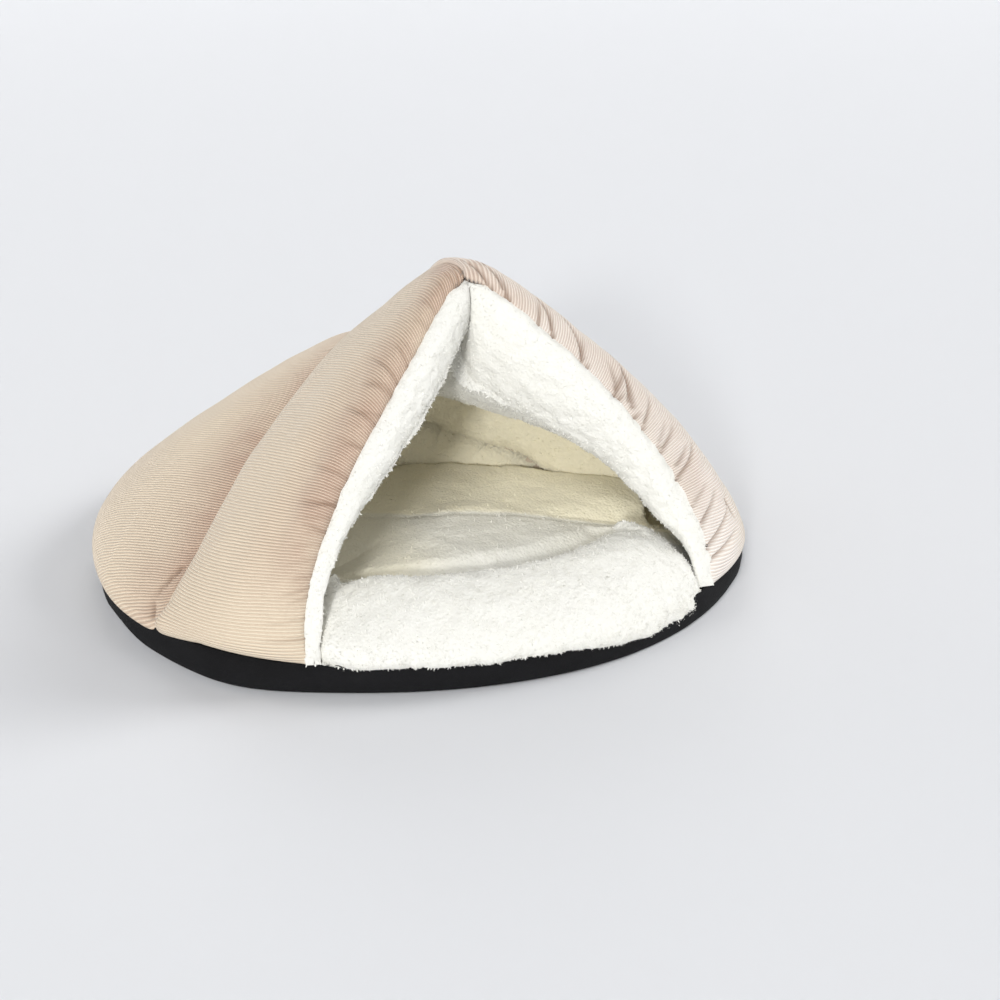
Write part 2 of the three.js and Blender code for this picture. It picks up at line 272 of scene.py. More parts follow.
def edge_loop(rows, columns):
    """The outline of a grid of points, once round."""
    first = np.arange(columns)
    right = np.arange(1, rows) * columns + columns - 1
    last = (rows - 1) * columns + np.arange(columns - 2, -1, -1)
    left = np.arange(rows - 2, 0, -1) * columns
    return np.concatenate([first, right, last, left])


def shell(name, front, back, every, corner_uvs=None, marks=None):
    """A closed sheet: a fine front grid, and a back grid with one point for every few of the front's."""
    rows, columns = front.shape[:2]
    back_rows, back_columns = back.shape[:2]
    points = np.concatenate([front.reshape(-1, 3), back.reshape(-1, 3)])
    front_faces = quads(rows, columns)
    back_faces = quads(back_rows, back_columns, rows * columns, turned=True)
    fine = edge_loop(rows, columns)
    coarse = edge_loop(back_rows, back_columns) + rows * columns
    strip = []
    count = len(coarse)
    for i in range(count):
        here, after = coarse[i], coarse[(i + 1) % count]
        for k in range(every):
            a = fine[(i * every + k) % len(fine)]
            b = fine[(i * every + k + 1) % len(fine)]
            strip.append((b, a, here))
        strip.append((fine[((i + 1) * every) % len(fine)], here, after))
    strip = np.array(strip)
    middle = rows // 2 * columns + columns // 2
    outward = front[rows // 2, columns // 2] - back[back_rows // 2, back_columns // 2]
    a, b, d = points[middle], points[middle + 1], points[middle + columns]
    if np.dot(np.cross(b - a, d - a), outward) < 0:
        front_faces, back_faces, strip = front_faces[:, ::-1], back_faces[:, ::-1], strip[:, ::-1]
    faces = [*front_faces.tolist(), *back_faces.tolist(), *strip.tolist()]
    uvs = None
    if corner_uvs is not None:
        grid = corner_uvs(front_faces)
        rest = sum(len(f) for f in faces) - grid.shape[0] * grid.shape[1]
        uvs = np.concatenate([grid.reshape(-1, 2), np.zeros((rest, 2))])
    padded = {mark: np.concatenate([grid.ravel(), np.zeros(back_rows * back_columns)])
              for mark, grid in (marks or {}).items()}
    return make_object(name, points, faces, uvs, padded)


def unit_normals(grid):
    normal = np.cross(np.gradient(grid, axis=0), np.gradient(grid, axis=1))
    return normal / np.maximum(np.linalg.norm(normal, axis=-1, keepdims=True), 1e-9)


def outward_normals(rings):
    """Unit normals of a grid whose rows run round a roll, facing away from the roll's middle."""
    normal = unit_normals(rings)
    middle = rings.mean(axis=1, keepdims=True)
    return normal if np.einsum("ijk,ijk->ij", normal, rings - middle).mean() > 0 else -normal


def table_value(x, table):
    """A value from a table of pairs, with straight lines between them."""
    return np.interp(x, [row[0] for row in table], [row[1] for row in table])


def spread(low, high, count, power):
    """Steps from low to high, closer together at the start where power is over 1."""
    return lerp(low, high, np.linspace(0, 1, count) ** power)


def both_ends(low, high, count, crowd):
    """Steps from low to high, closer together at both ends."""
    x = np.linspace(0, 1, count)
    return lerp(low, high, lerp(x, x * x * (3 - 2 * x), crowd))


# Folds in the ribbed cloth, each from a place on the hood to another: along and at, width and depth in
# millimetres. A negative depth is a ridge.
FOLDS = (
    # side, along, at, along, at, width, depth
    (LEFT, 0.407, 0.000, 0.396, 0.044, 3.0, 2.6),
    (LEFT, 0.345, 0.000, 0.357, 0.024, 2.6, 2.0),
    (LEFT, 0.540, 0.000, 0.520, 0.020, 2.8, 1.8),
    (LEFT, 0.612, 0.000, 0.585, 0.022, 3.4, 1.6),
    (LEFT, 0.667, 0.000, 0.642, 0.036, 3.4, 1.5),
    (LEFT, 0.950, 0.000, 0.925, 0.024, 2.6, 2.4),
    (LEFT, 0.970, 0.000, 0.955, 0.030, 2.2, 2.4),
    (LEFT, 0.990, 0.004, 0.975, 0.034, 2.0, 2.2),
    (LEFT, 0.050, 0.343, 0.104, 0.362, 3.4, 6.0),
    (LEFT, 0.200, 0.346, 0.098, 0.361, 3.4, 5.0),
    (LEFT, 0.120, 0.334, 0.300, 0.334, 4.0, 3.0),
    (RIGHT, 0.877, 0.000, 0.900, 0.014, 2.2, 5.0),
    (RIGHT, 0.890, 0.000, 0.915, 0.014, 2.6, -2.2),
    (RIGHT, 0.760, 0.000, 0.772, 0.010, 2.4, 2.6),
    (RIGHT, 0.678, 0.000, 0.690, 0.014, 2.6, 3.0),
    (RIGHT, 0.562, 0.000, 0.625, 0.012, 2.6, 3.8),
    (RIGHT, 0.545, 0.001, 0.604, 0.040, 3.0, 3.4),
    (RIGHT, 0.553, 0.000, 0.614, 0.026, 2.6, -2.8),
    (RIGHT, 0.478, 0.000, 0.512, 0.026, 3.0, 5.0),
    (RIGHT, 0.495, 0.000, 0.530, 0.024, 3.4, -2.4),
    (RIGHT, 0.408, 0.000, 0.435, 0.026, 3.2, 4.6),
    (RIGHT, 0.362, 0.001, 0.385, 0.022, 3.0, 3.2),
    (RIGHT, 0.222, 0.061, 0.160, 0.081, 6.0, 4.0),
)
# Each fold is a sharp valley with a soft swell beside it, and shallower towards its far end.
# crease_width and full_crease shape the painted shade along each crease.
FOLD_SHAPE = {"fade": 2.5, "swell": 0.4, "swell_width": 2.6, "crease_width": 1.5, "full_crease": 4.0}
RIM_LENGTH = 305.0
# Gathers all along the rim, in millimetres, between the folds of the table.
GATHERS = {"from": 24.0, "step": {LEFT: (6.0, 22.0), RIGHT: (9.0, 34.0)},
           "width": {LEFT: (1.5, 3.0), RIGHT: (1.4, 3.6)},
           "reach": {LEFT: (14.0, 42.0), RIGHT: (14.0, 46.0)},
           "lean": {LEFT: (-0.4, 0.15), RIGHT: (0.0, 1.1)},
           "depth": {LEFT: (0.4, 2.4), RIGHT: (2.0, 8.5)}}
# How far the lower edge of the hood rises or hangs over the base cloth: at, and millimetres.
HEM = ((0.0, 0.0), (0.12, 1.0), (0.22, 2.0), (0.29, -1.5), (0.345, -4.5), (0.42, -4.0), (0.55, -3.0),
       (0.75, -1.0), (1.0, 0.0))
HEM_REACH = 0.07
# How far the peak sinks, and over which shares of the spine and of the way back.
PEAK = {"drop": 9.5, "along": 0.055, "at": 0.065}
# The quilting line between the two channels: it bows towards the mouth, and both channels drop into it.
VALLEY = {"foot": 4.5, "foot_wide": 13.0, "foot_from": (0.0, 0.05), "foot_to": (0.05, 0.13), "bow": 0.024,
          "bow_width": 0.1, "bow_from": (0.03, 0.3), "bow_to": (0.7, 1.0), "low": (0.0, 0.1),
          "deep": 8.0, "front_wide": 5.0, "back_wide": 9.0, "back_rise": 20.0,
          "back_share": 0.8}
PUCKERS = {
    "rim": {LEFT: 1.5, RIGHT: 3.0}, "rim_reach": 30.0, "rim_size": 17.0,
    "valley": 1.5, "valley_reach": 14.0, "valley_size": 13.0,
    "spine": 1.4, "spine_reach": 12.0, "spine_size": 11.0,
    "broad": 2.6, "broad_size": 75.0, "fine": 0.9, "fine_size": 24.0,
    "rim_start": 3.0, "rim_fade": 1.4, "rim_slant": 0.25, "seam_start": 2.0, "seam_fade": 1.2,
    "valley_slant": 0.2, "calm_seam": 20.0, "calm_rim": 12.0, "foot": (0.02, 0.14),
    "broad_from": (0.0, 0.2),
}
# The hollow that the left half has beside its rim: millimetres from the rim, and where along it.
TROUGH = {"from_rim": 34.0, "width": 13.0, "deep": 3.0, "starts": (0.06, 0.2), "ends": (0.5, 0.75)}
# The ridge of the ribbed cloth right at the rim, in millimetres.
RIM_RIDGE = {"height": 2.2, "width": 2.5}
# Where the ribs open so that the darker ground shows, with painted shade added in the quilting valley and
# among the rim's puckers: reach from the rim, the valley and the peak, and how patchily.
RIBS_OPEN_AND_SHADE = {"patch": 0.45, "patch_size": 34.0, "speck": 0.3, "speck_size": 11.0,
             "rim": {LEFT: 0.8, RIGHT: 0.3}, "rim_reach": 40.0, "rim_from": (0.1, 0.3),
             "valley": 0.8, "behind": 38.0, "before": 5.0, "top": 0.4, "top_reach": 30.0}
# The line whose length spaces the ribs of the front channel.
RIB_LINE_AT = 0.13
# Painted highlight: the right half is painted paler along its rim, as far as this, where strong light falls
# on it.
HIGHLIGHT_REACH = 75.0
RIB_PITCH = 2.3
RIB_TURN = math.radians(22)
TUCK_OFFSETS = (-12.0, -8.0, -4.5, -1.8, -0.4)
FLAT_GRID = (20, 30)
# Where the flat cloth is turned so that it runs straight across, as a share of its columns.
FLAT_HEADING = 0.16
# Counts of points, one point behind for every few in front, and how the points crowd towards the seams.
HOOD_GRID = {"along": 281, "front": 112, "back": 100, "every": 4, "along_power": 1.12, "front_crowd": 0.75,
             "back_crowd": 0.5}


def peak_drop(along, at):
    return PEAK["drop"] * np.exp(-((1 - along) / PEAK["along"]) ** 2 - (at / PEAK["at"]) ** 2)


def across_lengths(points):
    steps = np.linalg.norm(np.diff(points, axis=1), axis=-1)
    return np.concatenate([np.zeros((len(points), 1)), np.cumsum(steps, axis=1)], axis=1)


def fold_rows(side, at_to_across):
    """The folds of one half, in millimetres over the flat cloth: the table's, then the gathers between."""
    rows = [(at_to_across(along_a, at_a), along_a * RIM_LENGTH, at_to_across(along_b, at_b),
             along_b * RIM_LENGTH, width, depth)
            for fold_side, along_a, at_a, along_b, at_b, width, depth in FOLDS if fold_side == side]
    rng = np.random.default_rng(41 + side)
    place = GATHERS["from"]
    while place < RIM_LENGTH:
        reach = rng.uniform(*GATHERS["reach"][side])
        lean = rng.uniform(*GATHERS["lean"][side]) * reach
        depth = rng.uniform(*GATHERS["depth"][side])
        rows.append((0.0, place, reach, place + lean, rng.uniform(*GATHERS["width"][side]), depth))
        place += rng.uniform(*GATHERS["step"][side])
    return rows


def fold_relief(along, across, rows):
    """How deep the folds are at each point, and how much painted shade runs along each fold's sharp crease.
    """
    depths, crease_shades = np.zeros_like(across), np.zeros_like(across)
    for across_a, place_a, across_b, place_b, width, depth in rows:
        line = np.array([across_b - across_a, place_b - place_a])
        x, y = across - across_a, along * RIM_LENGTH - place_a
        share = np.clip((x * line[0] + y * line[1]) / line.dot(line), 0, 1)
        gap = np.hypot(x - share * line[0], y - share * line[1])
        fade = 1 - share ** FOLD_SHAPE["fade"]
        if depth > 0:
            beside = FOLD_SHAPE["swell"] * np.exp(-(gap / (FOLD_SHAPE["swell_width"] * width)) ** 2)
            depths += depth * fade * (np.exp(-gap / width) - beside)
            sharp = min(depth / FOLD_SHAPE["full_crease"], 1)
            crease_shades += sharp * fade * np.exp(-(gap / FOLD_SHAPE["crease_width"]) ** 2)
        else:
            depths += depth * fade * np.exp(-(gap / width) ** 2)
    return depths, np.clip(crease_shades, 0, 1)


def valley_place(across, ats):
    """How far the quilting line lies from the rim, for each row of a grid."""
    return np.array([np.interp(QUILTING, ats, line) for line in across])[:, None]


def ribbed_detail(along, across, ats, side, points):
    """Folds and puckers of the ribbed cloth, out from the smooth swell, in millimetres."""

    def at_to_across(a, b):
        row = int(round(np.interp(a, along[:, 0], np.arange(len(along)))))
        return float(np.interp(b, ats, across[row]))

    valley = valley_place(across, ats)
    place = along * RIM_LENGTH
    seed = 3 if side < 0 else 5
    low = smooth(along, *PUCKERS["foot"])

    def seam_fade(distance, reach):
        start = 1 - np.exp(-distance / PUCKERS["seam_start"])
        return np.exp(-(distance / reach) ** PUCKERS["seam_fade"]) * start

    rim_fade = 1 - np.exp(-across / PUCKERS["rim_start"])
    rim_fade *= np.exp(-(across / PUCKERS["rim_reach"]) ** PUCKERS["rim_fade"])
    slant = place - PUCKERS["rim_slant"] * across * side
    rim_wave = line_noise(slant, PUCKERS["rim_size"], seed) + 0.5 * line_noise(
        slant, PUCKERS["rim_size"] / 2.1, seed + 1)
    detail = PUCKERS["rim"][side] * rim_wave * rim_fade * low
    from_valley = np.abs(across - valley)
    detail += PUCKERS["valley"] * seam_fade(from_valley, PUCKERS["valley_reach"]) * low * line_noise(
        place + PUCKERS["valley_slant"] * (across - valley), PUCKERS["valley_size"], seed + 2)
    from_spine = (1 - along) * RIM_LENGTH
    detail += PUCKERS["spine"] * seam_fade(from_spine, PUCKERS["spine_reach"]) * line_noise(
        across, PUCKERS["spine_size"], seed + 4)
    calm = 1 - np.exp(-across / PUCKERS["calm_rim"])
    for distance in (from_valley, from_spine):
        calm = calm * (1 - np.exp(-distance / PUCKERS["calm_seam"]))
    broad = PUCKERS["broad"] * value_noise(points, PUCKERS["broad_size"], seed + 6)
    fine = PUCKERS["fine"] * value_noise(points, PUCKERS["fine_size"], seed + 8)
    detail += (broad + fine) * calm * smooth(along, *PUCKERS["broad_from"])
    if side < 0:
        trough = np.exp(-((across - TROUGH["from_rim"]) / TROUGH["width"]) ** 2)
        trough *= smooth(along, *TROUGH["starts"]) * (1 - smooth(along, *TROUGH["ends"]))
        detail -= TROUGH["deep"] * trough
    depths, crease_shades = fold_relief(along, across, fold_rows(side, at_to_across))
    return detail - depths, crease_shades


def flat_cloth(side):
    """Lays the hood's surface flat, keeping its angles, so that its ribs keep their distance."""
    rows, columns = FLAT_GRID
    along, at = np.meshgrid(np.linspace(0, 1, rows), np.linspace(0, 1, columns), indexing="ij")
    points = hood_point(along, at, outside_swell(along, at, side), side)
    index = np.arange(rows * columns).reshape(rows, columns)
    a, b = index[:-1, :-1].ravel(), index[:-1, 1:].ravel()
    c, d = index[1:, 1:].ravel(), index[1:, :-1].ravel()
    faces = np.concatenate([np.stack([a, b, c], -1), np.stack([a, c, d], -1)])
    corners = points.reshape(-1, 3)[faces]
    first, second = corners[:, 1] - corners[:, 0], corners[:, 2] - corners[:, 0]
    length = np.linalg.norm(first, axis=1)
    normal = np.cross(first, second)
    area = np.linalg.norm(normal, axis=1)
    x = first / length[:, None]
    y = np.cross(normal / area[:, None], x)
    third = np.einsum("ij,ij->i", second, x) + 1j * np.einsum("ij,ij->i", second, y)
    rules = np.zeros((len(faces), rows * columns), complex)
    for corner, value in enumerate((third - length, -third, length)):
        rules[np.arange(len(faces)), faces[:, corner]] += value / np.sqrt(area)
    middle, far = rows // 2, columns // 3
    held, pulled = index[middle, 0], index[middle, far]
    reach = np.linalg.norm(np.diff(points[middle, :far + 1], axis=0), axis=-1).sum()
    free = np.setdiff1d(index.ravel(), [held, pulled])
    flat = np.zeros(rows * columns, complex)
    flat[pulled] = reach
    flat[free] = np.linalg.lstsq(rules[:, free], -rules[:, pulled] * reach, rcond=None)[0]
    flat = flat.reshape(rows, columns)
    early = int(columns * FLAT_HEADING)
    heading = flat[middle, early + 2] - flat[middle, early - 2]
    flat = flat * abs(heading) / heading
    return np.stack([flat.real, flat.imag], -1)


def sample_grid(grid, along, at):
    rows, columns = grid.shape[:2]
    y = np.clip(along * (rows - 1), 0, rows - 1.001)
    x = np.clip(at * (columns - 1), 0, columns - 1.001)
    low_y, low_x = y.astype(int), x.astype(int)
    part_y, part_x = (y - low_y)[..., None], (x - low_x)[..., None]
    return (grid[low_y, low_x] * (1 - part_y) * (1 - part_x) + grid[low_y + 1, low_x] * part_y * (1 - part_x)
            + grid[low_y, low_x + 1] * (1 - part_y) * part_x + grid[low_y + 1, low_x + 1] * part_y * part_x)


def ribs_open_and_shade_mark(along, from_rim, past_valley, side, points):
    """How far the ribs of the cloth open so that the darker ground shows between them, together with painted
    shade towards the quilting valley and among the puckers at the rim.
    """
    patchy = (1 + RIBS_OPEN_AND_SHADE["patch"] * value_noise(points, RIBS_OPEN_AND_SHADE["patch_size"], 15 + side)
              + RIBS_OPEN_AND_SHADE["speck"] * value_noise(points, RIBS_OPEN_AND_SHADE["speck_size"], 17 + side))
    rim = np.exp(-(from_rim / RIBS_OPEN_AND_SHADE["rim_reach"]) ** 2) * smooth(along, *RIBS_OPEN_AND_SHADE["rim_from"])
    valley = np.where(past_valley > 0, np.exp(-(past_valley / RIBS_OPEN_AND_SHADE["behind"]) ** 2),
                      np.exp(past_valley / RIBS_OPEN_AND_SHADE["before"]))
    top = np.exp(-((1 - along) * RIM_LENGTH / RIBS_OPEN_AND_SHADE["top_reach"]) ** 2)
    opened = RIBS_OPEN_AND_SHADE["rim"][side] * rim + RIBS_OPEN_AND_SHADE["valley"] * valley + RIBS_OPEN_AND_SHADE["top"] * top
    return np.clip(opened * patchy, 0, 1)


def hood_half(name, side):
    tuck = len(TUCK_OFFSETS)
    front_ats = both_ends(0, QUILTING, HOOD_GRID["front"] + 1 - tuck, HOOD_GRID["front_crowd"])
    back_ats = both_ends(QUILTING, 1, HOOD_GRID["back"] + 1, HOOD_GRID["back_crowd"])[1:]
    ats = np.concatenate([front_ats, back_ats])
    alongs = spread(0, 1, HOOD_GRID["along"], HOOD_GRID["along_power"])
    along, at = np.meshgrid(alongs, ats, indexing="ij")
    swelled = outside_swell(along, at, side)
    bow = VALLEY["bow"] * np.exp(-((at - QUILTING) / VALLEY["bow_width"]) ** 2)
    bow *= smooth(along, *VALLEY["bow_from"]) * (1 - smooth(along, *VALLEY["bow_to"]))
    peak = peak_drop(along, at)
    smooth_points = hood_point(along, at - bow, swelled, side)
    near = across_lengths(smooth_points)
    detail, crease_shades = ribbed_detail(along, near, ats, side, smooth_points)
    edge = RIM_RIDGE["height"] * np.exp(-near / RIM_RIDGE["width"])
    past = near - valley_place(near, ats)
    low = smooth(along, *VALLEY["low"])
    wide = np.where(past < 0, VALLEY["front_wide"], VALLEY["back_wide"])
    drop = VALLEY["deep"] * np.exp(-np.abs(past) / wide) * low
    slower = np.where(past > 0, VALLEY["back_share"] * np.exp(-np.abs(past) / VALLEY["back_rise"]), 0)
    drop += swelled * slower * low
    fill = VALLEY["foot"] * np.exp(-(past / VALLEY["foot_wide"]) ** 2) * smooth(along, *VALLEY["foot_from"])
    fill *= 1 - smooth(along, *VALLEY["foot_to"])
    outer = hood_point(along, at - bow, swelled + detail + edge + fill - drop - peak, side)
    outer[..., 2] += table_value(at, HEM) * np.exp(-along / HEM_REACH)
    # Partly the cloth's opened ribs, partly painted shade in the valley and among the rim's puckers.
    ribs_open_and_shade = ribs_open_and_shade_mark(along, near, past, side, smooth_points)
    # Painted highlight along the right half's rim.
    painted_highlight = np.exp(-(near / HIGHLIGHT_REACH) ** 2) if side > 0 else np.zeros_like(near)
    tucked = [hood_point(along[:, 0], np.full(len(alongs), RIM_AT), np.full(len(alongs), offset), side)
              for offset in TUCK_OFFSETS]
    front = np.concatenate([np.stack(tucked, axis=1), outer], axis=1)
    every = HOOD_GRID["every"]
    back_at = np.concatenate([np.full(tuck, RIM_AT), ats])[::every]
    back_along, back_at = np.meshgrid(alongs[::every], back_at, indexing="ij")
    depth = np.maximum(inside_depth(back_along, back_at, side) - LINING_THICKNESS, 2.0)
    back = hood_point(back_along, back_at, -depth, side)

    middle_line = smooth_points[:, np.argmin(np.abs(ats - RIB_LINE_AT))]
    rib_place = np.concatenate([[0], np.cumsum(np.linalg.norm(np.diff(middle_line, axis=0), axis=-1))])
    across = across_lengths(front)
    front_uv = np.stack([across, np.broadcast_to(rib_place[:, None], across.shape)], -1)
    flat = sample_grid(flat_cloth(side), along, at)
    flat = np.concatenate([np.repeat(flat[:, :1], tuck, axis=1), flat], axis=1)
    cos, sin = math.cos(RIB_TURN), math.sin(RIB_TURN)
    back_uv = np.stack([flat[..., 0] * cos - flat[..., 1] * sin, flat[..., 0] * sin + flat[..., 1] * cos], -1)
    columns = front.shape[1]
    last_front = tuck + len(front_ats) - 1

    def corner_uvs(faces):
        column = faces % columns
        on_back = column.min(axis=1) >= last_front
        both = np.stack([front_uv.reshape(-1, 2)[faces], back_uv.reshape(-1, 2)[faces]])
        return both[on_back.astype(int), np.arange(len(faces))] * MM

    marks = {mark: np.concatenate([np.repeat(grid[:, :1], tuck, axis=1), grid], axis=1)
             for mark, grid in (("ribs_open_and_shade", ribs_open_and_shade), ("crease_shade", crease_shades), ("painted_highlight", painted_highlight))}
    return shell(name, front, back, every, corner_uvs, marks)


# Fleece lining.
LINING_GRID = {"along": 229, "flange": 40, "front": 80, "back": 104, "every": 4, "along_power": 1.1,
               "front_power": 1.15, "back_crowd": 0.3}
FLANGE = {"forward": 0.02, "under": 2.5, "nose_at": 0.05, "nose_forward": 0.024, "nose_lift": 10.0,
          "nose_pull": 0.042, "round": 0.75, "reach_power": 1.1}
# How far the fleece strip along the left rim reaches into the mouth: along, and millimetres.
STRIP = ((0.0, 5.0), (0.1, 9.0), (0.2, 12.0), (0.3, 13.0), (0.42, 19.0), (0.55, 28.0), (0.78, 36.0),
         (0.92, 37.0), (1.0, 30.0))
STRIP_LIP = 0.045
# Painted warm shade on the fleece inside the cave, from 0 on the rim to 1 at the back; on the cushion it is
# strongest on the left, where the left half casts its shadow, and behind the fold.
CAVE_SHADE_TONE = {"roll": 0.3, "roll_at": (0.05, 0.2), "deep_at": (0.2, 0.36), "cushion": 0.22,
             "cushion_left": 0.5, "cushion_at": (-135.0, -95.0), "cushion_side": (20.0, 75.0)}
# How far the seam between the two linings swings to the left inside the roll: millimetres, and share.
# calm is the share over which the relief of the fleece fades at that seam.
SPINE_SWING = {"left": 14.0, "width": 0.16, "calm": 0.012}
CAVE_CENTRE = np.array([0.0, -60.0, 70.0])
FLEECE = {"lump": 1.3, "lump_size": 13.0, "curl": 0.75, "curl_size": 4.6, "crease_size": 26.0, "crease": 3.0,
          "crease_from": (QUILTING, 0.4), "crease_above": (0.05, 0.3)}


def fleece_relief(points, seed):
    lump = value_noise(points, FLEECE["lump_size"], seed)
    curl = value_noise(points, FLEECE["curl_size"], seed + 1)
    return FLEECE["lump"] * lump + FLEECE["curl"] * curl


def rim_nose(along, turn, side):
    """The full rim: one round curve from the seam to the roll inside."""
    end = FLANGE["nose_at"]
    step = 0.002
    depth = inside_depth(along, 0 * along + end, side)
    slope = (inside_depth(along, 0 * along + end + step, side) - depth) / step
    pull = FLANGE["nose_pull"]
    ats = (RIM_AT, -FLANGE["nose_forward"], end - pull, end)
    depths = (-FLANGE["under"], FLANGE["nose_lift"], depth - pull * slope, depth)
    shares = ((1 - turn) ** 3, 3 * (1 - turn) ** 2 * turn, 3 * (1 - turn) * turn ** 2, turn ** 3)
    return (sum(share * value for share, value in zip(shares, ats)),
            sum(share * value for share, value in zip(shares, depths)))


def lining_half(name, side):
    every = LINING_GRID["every"]
    alongs = spread(0, 1, LINING_GRID["along"], LINING_GRID["along_power"])
    turns = np.linspace(0, 1, LINING_GRID["flange"] + 1)[:-1]
    steps = spread(0, 1, LINING_GRID["front"] + 1, LINING_GRID["front_power"])
    back_ats = both_ends(QUILTING, 1, LINING_GRID["back"] + 1, LINING_GRID["back_crowd"])[1:]

    along, turn = np.meshgrid(alongs, turns, indexing="ij")
    if side < 0:
        flange_at = RIM_AT - FLANGE["forward"] * np.sin(np.pi * turn) ** FLANGE["round"]
        flange_depth = lerp(-FLANGE["under"], table_value(along, STRIP), turn ** FLANGE["reach_power"])
    else:
        flange_at, flange_depth = rim_nose(along, turn, side)
    flange = hood_point(along, flange_at, -flange_depth - peak_drop(along, flange_at), side)

    ats = np.concatenate([lerp(0 if side < 0 else FLANGE["nose_at"], QUILTING, steps), back_ats])
    along, at = np.meshgrid(alongs, ats, indexing="ij")
    depth = inside_depth(along, at, side)
    if side < 0:
        lip = table_value(along, STRIP) - inside_depth(along, 0 * along, side)
        depth = depth + lip * (1 - smooth(at, 0, STRIP_LIP))
    depth = depth + peak_drop(along, at)
    inner = hood_point(along, at, -depth, side)
    wrinkle = FLEECE["crease"] * value_noise(inner, FLEECE["crease_size"], 31)
    wrinkle *= smooth(at, *FLEECE["crease_from"]) * smooth(along, *FLEECE["crease_above"])
    inner = hood_point(along, at, -(depth + wrinkle), side)
    front = np.concatenate([flange, inner], axis=1)
    normals = grid_normals(front)
    free = 1 - np.exp(-(1 - alongs[:, None]) / SPINE_SWING["calm"])
    front = front + normals * (fleece_relief(front, 11 + side) * free)[..., None]
    front[..., 0] = side * np.maximum(side * front[..., 0] - GAP, -GAP / 2)
    across = np.concatenate([0 * flange[..., 0], np.clip(at / QUILTING, 0, 1)], axis=1)
    near_spine = np.exp(-((1 - alongs[:, None]) / SPINE_SWING["width"]) ** 2)
    front[..., 0] -= SPINE_SWING["left"] * swell(across, 0.5) * near_spine

    coarse = front[::every, ::every]
    back = coarse - grid_normals(front)[::every, ::every] * LINING_BACK
    # Painted warm shade on the lining, growing from the roll into the back of the cave.
    tone = CAVE_SHADE_TONE["roll"] * smooth(at, *CAVE_SHADE_TONE["roll_at"])
    tone = np.maximum(tone, smooth(at, *CAVE_SHADE_TONE["deep_at"]))
    deep = np.concatenate([0 * flange[..., 0], tone], axis=1)
    return shell(name, front, back, every, marks={"deep": deep}), front, deep


def grid_normals(points):
    """Unit normals of a grid of the lining, facing the cave."""
    normal = unit_normals(points)
    place = points.shape[0] // 2, points.shape[1] // 3
    return normal if np.dot(normal[place], CAVE_CENTRE - points[place]) > 0 else -normal


# Floor cushion.
PAD_STEPS = 208
PAD_RELIEF = {"broad": 1.2, "broad_size": 48.0, "share": 0.5, "least": 0.2, "grows": 4.0}
# The fold across the cushion, where its back part begins.
PAD_FOLD = {"slant": 0.43, "at": (-34.0, -26.0), "width": 6.0, "deep": 2.0, "grows": 3.0}
# The back part of the cushion fills the room up to the lining.
COVER = {"centre": np.array([0.0, -60.0]), "bins": 240, "far": 1000.0, "below": 60.0, "edge": (-1.0, 5.0),
         "room": (-150.0, -40.0), "height": 47.0}


def pad_inset(degrees):
    away = smooth(np.abs(degrees), PAD["mouth_from"], PAD["mouth_to"])
    return lerp(PAD["mouth_inset"], PAD["inset"], away)


def pad_top(degrees, share):
    edge = oval_point(degrees, pad_inset(degrees), 0.0)
    point = edge * share[..., None]
    behind = np.clip((point[..., 1] - PAD["crest_y"]) / (PAD["room_to"] - PAD["crest_y"]), 0, 1)
    narrowing = np.clip((point[..., 1] - PAD["room_from"]) / (PAD["room_to"] - PAD["room_from"]), 0, 1)
    side = np.clip(np.abs(point[..., 0]) / (PAD["room_width"] * (1 - narrowing) + 1), 0, 1)
    from_edge = np.linalg.norm(edge[..., :2], axis=-1) * (1 - share)
    inner = smooth(from_edge, 0, PAD["shelf_inset"])
    fullness = inner * (1 - side ** PAD["room_power"]) * (1 - behind) ** PAD["fall_power"]
    away = smooth(np.abs(degrees), PAD["mouth_from"], PAD["mouth_to"])
    shelf = lerp(lerp(PAD["mouth_edge"], PAD["edge"], away), PAD["shelf"], inner)
    point[..., 2] = lerp(shelf, PAD["crown"], fullness)
    return point, fullness


def covered(places, lining):
    """From 0 in the open to 1 under the fleece of the lining, for a grid of places on the cushion."""
    low = np.concatenate([grid.reshape(-1, 3) for grid in lining])
    low = low[low[:, 2] < COVER["below"], :2] - COVER["centre"]
    nearest = np.full(COVER["bins"], COVER["far"])
    bins = (np.degrees(np.arctan2(low[:, 1], low[:, 0])) + 180) / 360 * COVER["bins"]
    np.minimum.at(nearest, bins.astype(int) % COVER["bins"], np.linalg.norm(low, axis=1))
    away = places[..., :2] - COVER["centre"]
    angle = (np.degrees(np.arctan2(away[..., 1], away[..., 0])) + 180) / 360 * COVER["bins"] - 0.5
    limit = np.interp(angle, np.arange(COVER["bins"]), nearest, period=COVER["bins"])
    return smooth(np.linalg.norm(away, axis=-1) - limit, *COVER["edge"])


